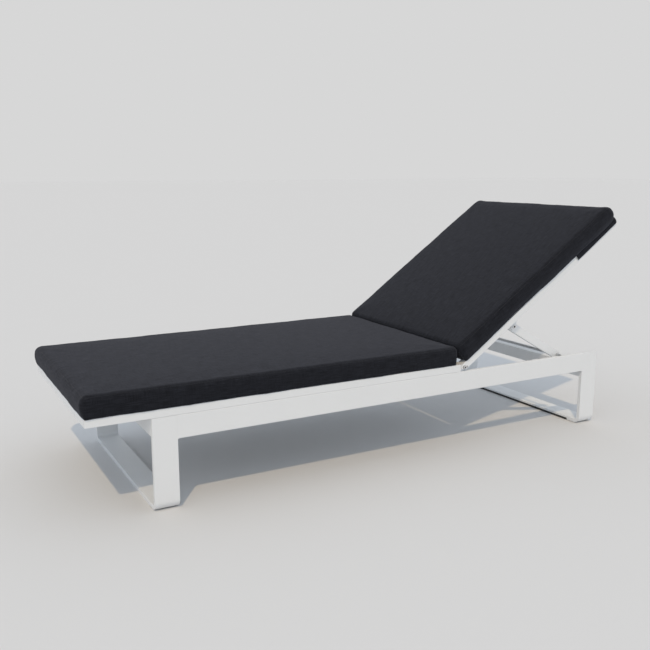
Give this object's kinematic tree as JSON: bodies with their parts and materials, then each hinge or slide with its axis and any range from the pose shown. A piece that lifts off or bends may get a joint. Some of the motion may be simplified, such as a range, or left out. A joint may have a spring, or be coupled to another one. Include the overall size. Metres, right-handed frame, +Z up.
{
  "type": "reclining sun lounger",
  "caption": "Low reclining lounger: white flat-bar hoops and rails, slatted tube frame, hinged back with a prop and notched racks, two dark loose cushions.",
  "frame": {"origin": "centre of the bounding box on the floor, as it stands with its back partly raised", "axes": "+X from the foot end to the head end, +Y across the width (the mirror plane is y = 0), +Z up"},
  "size_m": [1.9604, 0.7298, 0.8181],
  "materials": {
    "frame": "satin",
    "slats": "satin",
    "seat_fabric": "matte",
    "back_fabric": "matte",
    "nylon": "matte",
    "fasteners": "satin",
    "bolts": "satin",
    "white_nylon": "matte"
  },
  "bodies": {
    "base": {"front_hoop": "frame", "rear_hoop": "frame", "side_rail_left": "frame", "side_rail_right": "frame", "front_cross_bar": "frame", "rear_cross_bar": "frame", "front_glide": "white_nylon", "rear_glide": "nylon", "glide_screws": "fasteners", "seat_side_bar_left": "frame", "seat_side_bar_right": "frame", "seat_foot_bar": "frame", "seat_rear_bar": "frame", "seat_ledge_left": "frame", "seat_ledge_right": "frame", "seat_slats": "slats", "seat_slat_rivets": "fasteners", "seat_frame_tabs": "frame", "seat_frame_bolts": "fasteners", "seat_bar_plugs": "white_nylon", "hinge_plate_left": "frame", "hinge_plate_right": "frame", "hinge_plate_bolts": "fasteners", "pivot_bolt_left": "bolts", "pivot_bolt_right": "bolts", "pivot_nuts": "fasteners", "notch_rack_left": "frame", "notch_rack_right": "frame", "rack_screws": "fasteners", "seat_cushion": "seat_fabric"},
    "backrest": {"back_side_bar_left": "frame", "back_side_bar_right": "frame", "back_top_bar": "frame", "back_lower_bar": "frame", "hinge_tongue_left": "frame", "hinge_tongue_right": "frame", "tongue_rivets": "fasteners", "pivot_bushes": "nylon", "back_ledge_left": "frame", "back_ledge_right": "frame", "back_slats": "slats", "back_slat_rivets": "fasteners", "prop_bracket_left": "frame", "prop_bracket_right": "frame", "bracket_rivets": "fasteners", "prop_bolt_left": "bolts", "prop_bolt_right": "bolts", "prop_spacers": "fasteners", "prop_nuts": "fasteners", "back_cushion": "back_fabric", "cushion_hood": "back_fabric"},
    "prop": {"prop_strut_left": "frame", "prop_strut_right": "frame", "prop_bushes": "nylon", "prop_foot_rod": "fasteners", "rod_collars": "nylon"}
  },
  "joints": [
    {"name": "recline", "type": "hinge", "parent": "base", "child": "backrest", "pos_m": [0.28967, 0, 0.2915], "axis": [0, -1, 0], "range_deg": [-34.35, 25.65]},
    {"name": "prop_swing", "type": "hinge", "parent": "backrest", "child": "prop", "pos_m": [0.51939, 0, 0.40731], "axis": [0, -1, 0], "range_deg": [-50.1, 67.1]}
  ],
  "couplings": [
    {"joint": "prop_swing", "follows": "recline", "ratio": -1.95}
  ]
}
